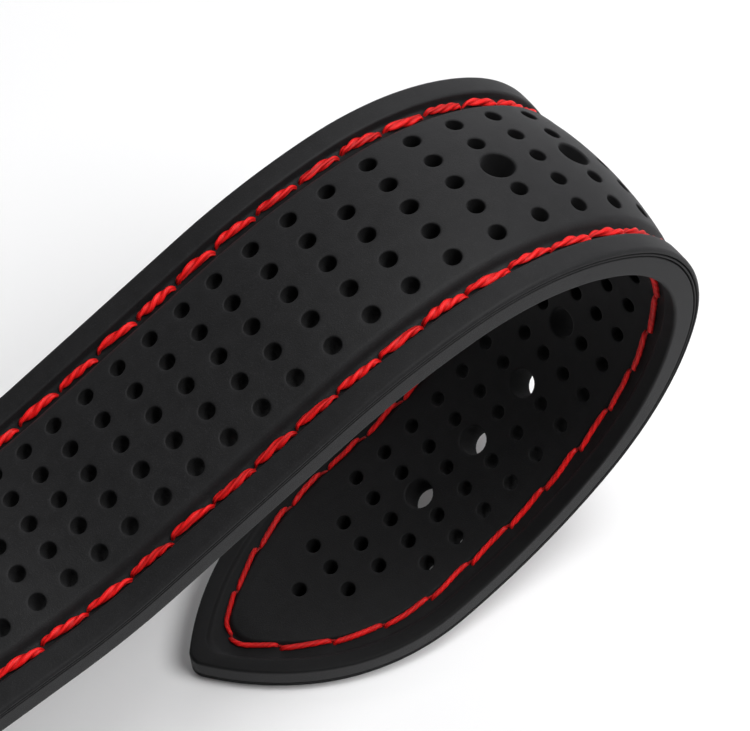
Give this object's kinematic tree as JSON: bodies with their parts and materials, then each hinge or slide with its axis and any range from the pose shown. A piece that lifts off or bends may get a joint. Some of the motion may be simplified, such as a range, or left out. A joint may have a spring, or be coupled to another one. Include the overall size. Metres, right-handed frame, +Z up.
{
  "type": "silicone watch strap",
  "caption": "Perforated soft silicone watch strap in two halves, stitched edges, pointed tip, tang buckle, keepers and quick-release bars; long half curled over on itself.",
  "frame": {"origin": "on the table, under the flat run of the long half's tip, 6 mm from the nose, in the middle of the strap's width", "axes": "+X from the buckle towards the curl, +Y across the strap, +Z up"},
  "size_m": [0.1631, 0.025, 0.0449],
  "materials": {
    "silicone": "matte soft-touch",
    "thread": "twisted polyester thread",
    "steel": "fine brushed",
    "spring_wire": "drawn wire"
  },
  "bodies": {
    "strap": {"tail_strap": "silicone", "tail_top_thread": "thread", "tail_under_thread": "thread", "tail_bar_tube": "steel", "tail_bar_spring": "spring_wire", "buckle_strap": "silicone", "short_top_thread_near": "thread", "short_top_thread_far": "thread", "short_under_thread_near": "thread", "short_under_thread_far": "thread", "lug_bar_tube": "steel", "lug_bar_spring": "spring_wire", "fixed_keeper": "silicone"},
    "tail_release": {"tail_bar_plunger": "steel", "tail_bar_lever": "steel"},
    "lug_release": {"lug_bar_plunger": "steel", "lug_bar_lever": "steel"},
    "keeper": {"floating_keeper": "silicone"},
    "buckle": {"buckle_frame": "steel", "buckle_bar_tube": "steel", "buckle_bar_spring": "spring_wire"},
    "near_pin": {"buckle_plunger_near": "steel"},
    "far_pin": {"buckle_plunger_far": "steel"},
    "tongue": {"buckle_tongue": "steel"}
  },
  "joints": [
    {"name": "tail_release_slide", "type": "slide", "parent": "strap", "child": "tail_release", "axis": [0, -1, 0], "range_m": [0, 0.001], "stiffness_N_per_m": 300, "springref_m": -0.003, "deforming": ["tail_bar_spring"]},
    {"name": "lug_release_slide", "type": "slide", "parent": "strap", "child": "lug_release", "axis": [0, -1, 0], "range_m": [0, 0.001], "stiffness_N_per_m": 300, "springref_m": -0.003, "deforming": ["lug_bar_spring"]},
    {"name": "floating_keeper_slide", "type": "slide", "parent": "strap", "child": "keeper", "axis": [0.9135, 0, 0.4067], "range_m": [-0.0055, 0.015]},
    {"name": "buckle_hinge", "type": "hinge", "parent": "strap", "child": "buckle", "pos_m": [-0.11254, 0, 0.0025], "axis": [0, 1, 0], "range_deg": [-80, 95]},
    {"name": "tongue_hinge", "type": "hinge", "parent": "buckle", "child": "tongue", "pos_m": [-0.11254, 0, 0.0025], "axis": [0, 1, 0], "range_deg": [0, 100]},
    {"name": "buckle_pin_near_slide", "type": "slide", "parent": "buckle", "child": "near_pin", "axis": [0, 1, 0], "range_m": [0, 0.001], "stiffness_N_per_m": 300, "springref_m": -0.003, "deforming": ["buckle_bar_spring"]},
    {"name": "buckle_pin_far_slide", "type": "slide", "parent": "buckle", "child": "far_pin", "axis": [0, -1, 0], "range_m": [0, 0.001], "stiffness_N_per_m": 300, "springref_m": -0.003, "deforming": ["buckle_bar_spring"]}
  ]
}
